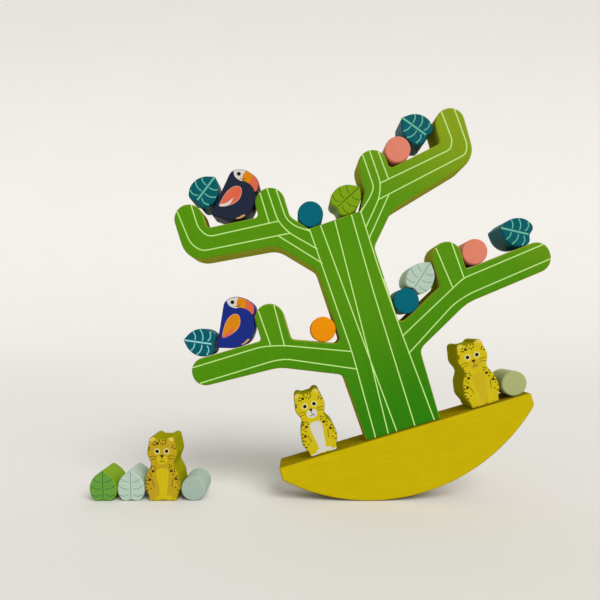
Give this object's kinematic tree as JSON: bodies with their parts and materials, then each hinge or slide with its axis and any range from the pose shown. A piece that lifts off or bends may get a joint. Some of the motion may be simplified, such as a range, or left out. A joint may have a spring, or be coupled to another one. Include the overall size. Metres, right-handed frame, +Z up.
{
  "type": "balance tree game",
  "caption": "Painted wooden tree on a round-soled rocker, with loose leopard, toucan, leaf and peg blocks to balance on its branches.",
  "frame": {"origin": "where the rocker's round sole touches the table, midway front to back", "axes": "+Z up, the painted faces toward -Y, +X to the right as seen from the front"},
  "size_m": [0.367, 0.03, 0.3061],
  "materials": {
    "yellow_paint": "satin paint",
    "green_paint": "satin paint",
    "bare_beech": "bare wood",
    "leopard_paint": "satin paint",
    "navy_paint": "satin paint",
    "blue_paint": "satin paint",
    "teal_paint": "satin paint",
    "leaf_green_paint": "satin paint",
    "mint_paint": "satin paint",
    "pink_paint": "satin paint",
    "orange_paint": "satin paint"
  },
  "bodies": {
    "leopard_loose": {"leopard_loose": "leopard_paint"},
    "rocker": {"rocker_base": "yellow_paint"},
    "tree": {"tree": "green_paint", "dowel_left": "bare_beech", "dowel_right": "bare_beech"},
    "leopard_left": {"leopard_left": "leopard_paint"},
    "leopard_right": {"leopard_right": "leopard_paint"},
    "toucan_navy": {"toucan_navy": "navy_paint"},
    "toucan_blue": {"toucan_blue": "blue_paint"},
    "leaf_teal_upper_left": {"leaf_teal_upper_left": "teal_paint"},
    "leaf_teal_upper_right": {"leaf_teal_upper_right": "teal_paint"},
    "leaf_teal_lower_left": {"leaf_teal_lower_left": "teal_paint"},
    "leaf_teal_lower_right": {"leaf_teal_lower_right": "teal_paint"},
    "leaf_green_trunk": {"leaf_green_trunk": "leaf_green_paint"},
    "leaf_green_loose": {"leaf_green_loose": "leaf_green_paint"},
    "leaf_mint_branch": {"leaf_mint_branch": "mint_paint"},
    "leaf_mint_loose": {"leaf_mint_loose": "mint_paint"},
    "peg_teal_trunk": {"peg_teal_trunk": "teal_paint"},
    "peg_teal_branch": {"peg_teal_branch": "teal_paint"},
    "peg_pink_upper": {"peg_pink_upper": "pink_paint"},
    "peg_pink_lower": {"peg_pink_lower": "pink_paint"},
    "peg_orange": {"peg_orange": "orange_paint"},
    "peg_mint_base": {"peg_mint_base": "mint_paint"},
    "peg_mint_loose": {"peg_mint_loose": "mint_paint"}
  },
  "joints": [
    {"name": "rock", "type": "hinge", "parent": "leopard_loose", "child": "rocker", "pos_m": [0, 0, 0.149], "axis": [0, 1, 0], "range_deg": [-4, 37.2]},
    {"name": "tree_lift", "type": "slide", "parent": "rocker", "child": "tree", "axis": [-0.2857, 0, 0.9583], "range_m": [0, 0.03]},
    {"name": "leaf_teal_upper_left_lift", "type": "slide", "parent": "tree", "child": "leaf_teal_upper_left", "axis": [-0.2857, 0, 0.9583], "range_m": [0, 0.04]},
    {"name": "leaf_teal_upper_right_lift", "type": "slide", "parent": "tree", "child": "leaf_teal_upper_right", "axis": [-0.2857, 0, 0.9583], "range_m": [0, 0.04]},
    {"name": "leaf_teal_lower_left_lift", "type": "slide", "parent": "tree", "child": "leaf_teal_lower_left", "axis": [-0.2857, 0, 0.9583], "range_m": [0, 0.04]},
    {"name": "leaf_teal_lower_right_lift", "type": "slide", "parent": "tree", "child": "leaf_teal_lower_right", "axis": [-0.2857, 0, 0.9583], "range_m": [0, 0.04]},
    {"name": "leaf_green_trunk_lift", "type": "slide", "parent": "tree", "child": "leaf_green_trunk", "axis": [-0.2857, 0, 0.9583], "range_m": [0, 0.04]},
    {"name": "leaf_mint_branch_lift", "type": "slide", "parent": "tree", "child": "leaf_mint_branch", "axis": [-0.2857, 0, 0.9583], "range_m": [0, 0.04]},
    {"name": "peg_teal_trunk_lift", "type": "slide", "parent": "tree", "child": "peg_teal_trunk", "axis": [-0.2857, 0, 0.9583], "range_m": [0, 0.04]},
    {"name": "peg_pink_lower_lift", "type": "slide", "parent": "tree", "child": "peg_pink_lower", "axis": [-0.2857, 0, 0.9583], "range_m": [0, 0.04]},
    {"name": "toucan_navy_draw", "type": "slide", "parent": "tree", "child": "toucan_navy", "axis": [-0.005, -0.9998, 0.0167], "range_m": [0, 0.03]},
    {"name": "toucan_blue_draw", "type": "slide", "parent": "tree", "child": "toucan_blue", "axis": [-0.005, -0.9998, 0.0167], "range_m": [0, 0.03]},
    {"name": "peg_pink_upper_draw", "type": "slide", "parent": "tree", "child": "peg_pink_upper", "axis": [-0.005, -0.9998, 0.0167], "range_m": [0, 0.03]},
    {"name": "peg_teal_branch_draw", "type": "slide", "parent": "tree", "child": "peg_teal_branch", "axis": [-0.005, -0.9998, 0.0167], "range_m": [0, 0.03]},
    {"name": "peg_orange_lift", "type": "slide", "parent": "tree", "child": "peg_orange", "axis": [-0.4478, 0, 0.8942], "range_m": [0, 0.03]},
    {"name": "leopard_left_draw", "type": "slide", "parent": "rocker", "child": "leopard_left", "axis": [-0.0977, -0.9397, 0.3278], "range_m": [0, 0.05]},
    {"name": "leopard_right_draw", "type": "slide", "parent": "rocker", "child": "leopard_right", "axis": [-0.0977, -0.9397, 0.3278], "range_m": [0, 0.05]},
    {"name": "peg_mint_base_lift", "type": "slide", "parent": "rocker", "child": "peg_mint_base", "axis": [-0.2857, 0, 0.9583], "range_m": [0, 0.04]},
    {"name": "leaf_mint_loose_lift", "type": "slide", "parent": "leopard_loose", "child": "leaf_mint_loose", "axis": [0, 0, 1], "range_m": [0, 0.05]},
    {"name": "leaf_green_loose_lift", "type": "slide", "parent": "leopard_loose", "child": "leaf_green_loose", "axis": [0, 0, 1], "range_m": [0, 0.05]},
    {"name": "peg_mint_loose_lift", "type": "slide", "parent": "leopard_loose", "child": "peg_mint_loose", "axis": [0, 0, 1], "range_m": [0, 0.05]}
  ]
}
